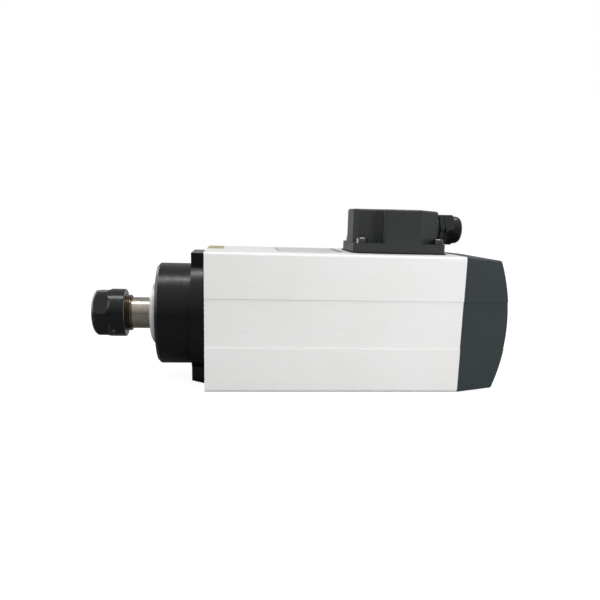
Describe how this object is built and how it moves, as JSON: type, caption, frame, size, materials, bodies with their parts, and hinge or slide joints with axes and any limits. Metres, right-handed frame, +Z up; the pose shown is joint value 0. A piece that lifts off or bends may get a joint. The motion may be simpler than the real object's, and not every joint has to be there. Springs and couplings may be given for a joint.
{
  "type": "motor spindle",
  "caption": "Square air-cooled motor spindle: ribbed-duct housing, piloted front flange, slotted collet nose with hex nut, tapered fan cover and side-entry terminal box.",
  "frame": {"origin": "on the spindle axis in the front face of the mounting flange, where the pilot boss ends", "axes": "+X along the spindle axis from the tool towards the fan, +Z up through the terminal box"},
  "size_m": [0.3583, 0.116, 0.1532],
  "materials": {
    "anodised_extrusion": "satin silver anodised extrusion",
    "black_flange": "black satin finish on a turned casting",
    "black_screws": "black oxide",
    "turned_aluminium": "bright turned",
    "bearing_steel": "ground",
    "lamination_steel": "stacked laminations",
    "winding_enamel": "enamelled copper wire",
    "lead_sleeve": "sleeved winding leads",
    "cast_aluminium": "as cast",
    "spring_steel": "blued spring steel",
    "slate_plastic": "fine-grained slate-coloured moulding",
    "gasket_rubber": "sheet rubber",
    "grey_casting": "dark grey powder coat on a die casting",
    "zinc_screws": "zinc plated",
    "phenolic": "brown moulding compound",
    "brass_studs": "plain brass",
    "gland_nylon": "black nylon",
    "seal_rubber": "black seal",
    "plate_aluminium": "blank satin plate",
    "ground_steel": "ground",
    "nut_steel": "plain turned",
    "fan_plastic": "black nylon moulding",
    "collet_steel": "ground spring steel",
    "blackened_nut": "blackened, turned and balanced"
  },
  "bodies": {
    "housing": {"body_extrusion": "anodised_extrusion", "front_flange": "black_flange", "flange_screws": "black_screws", "front_bearing_cap": "turned_aluminium", "front_bearing_outer_rings": "bearing_steel", "stator_core": "lamination_steel", "stator_windings": "winding_enamel", "stator_leads": "lead_sleeve", "rear_bearing_bracket": "cast_aluminium", "bracket_screws": "black_screws", "rear_bearing_outer_rings": "bearing_steel", "preload_spring": "spring_steel", "fan_cover": "slate_plastic", "fan_cover_screws": "black_screws", "box_gasket": "gasket_rubber", "terminal_box": "grey_casting", "box_screws": "zinc_screws", "box_washers": "zinc_screws", "terminal_block": "phenolic", "terminal_studs": "brass_studs", "terminal_nuts": "brass_studs", "earth_screw": "brass_studs", "gland_body": "gland_nylon", "gland_lock_nut": "gland_nylon", "gland_seal": "seal_rubber", "gland_dome_nut": "gland_nylon", "name_plate": "plate_aluminium"},
    "rotor": {"shaft": "ground_steel", "front_bearing_inner_rings": "bearing_steel", "rear_bearing_inner_rings": "bearing_steel", "front_lock_nut": "nut_steel", "rear_lock_nut": "nut_steel", "rotor_core": "lamination_steel", "rotor_cage": "cast_aluminium", "fan_impeller": "fan_plastic", "fan_circlip": "spring_steel"},
    "front_cages": {"front_ball_cages": "bearing_steel"},
    "rear_cages": {"rear_ball_cages": "bearing_steel"},
    "collet_body": {"collet": "collet_steel"},
    "nut_body": {"collet_nut": "blackened_nut"}
  },
  "joints": [
    {"name": "rotor_spin", "type": "hinge", "parent": "housing", "child": "rotor", "pos_m": [0, 0, 0], "axis": [1, 0, 0], "continuous": true},
    {"name": "front_cage_spin", "type": "hinge", "parent": "housing", "child": "front_cages", "pos_m": [-0.0116, 0, 0], "axis": [1, 0, 0], "continuous": true},
    {"name": "rear_cage_spin", "type": "hinge", "parent": "housing", "child": "rear_cages", "pos_m": [0.215, 0, 0], "axis": [1, 0, 0], "continuous": true},
    {"name": "collet_travel", "type": "slide", "parent": "rotor", "child": "collet_body", "axis": [-1, 0, 0], "range_m": [0, 0.009]},
    {"name": "nut_turn", "type": "hinge", "parent": "collet_body", "child": "nut_body", "pos_m": [-0.07, 0, 0], "axis": [-1, 0, 0], "range_deg": [0, 2160]}
  ],
  "couplings": [
    {"joint": "front_cage_spin", "follows": "rotor_spin", "ratio": 0.415},
    {"joint": "rear_cage_spin", "follows": "rotor_spin", "ratio": 0.412},
    {"joint": "nut_turn", "follows": "collet_travel", "rad_per_m": 4188.8}
  ]
}
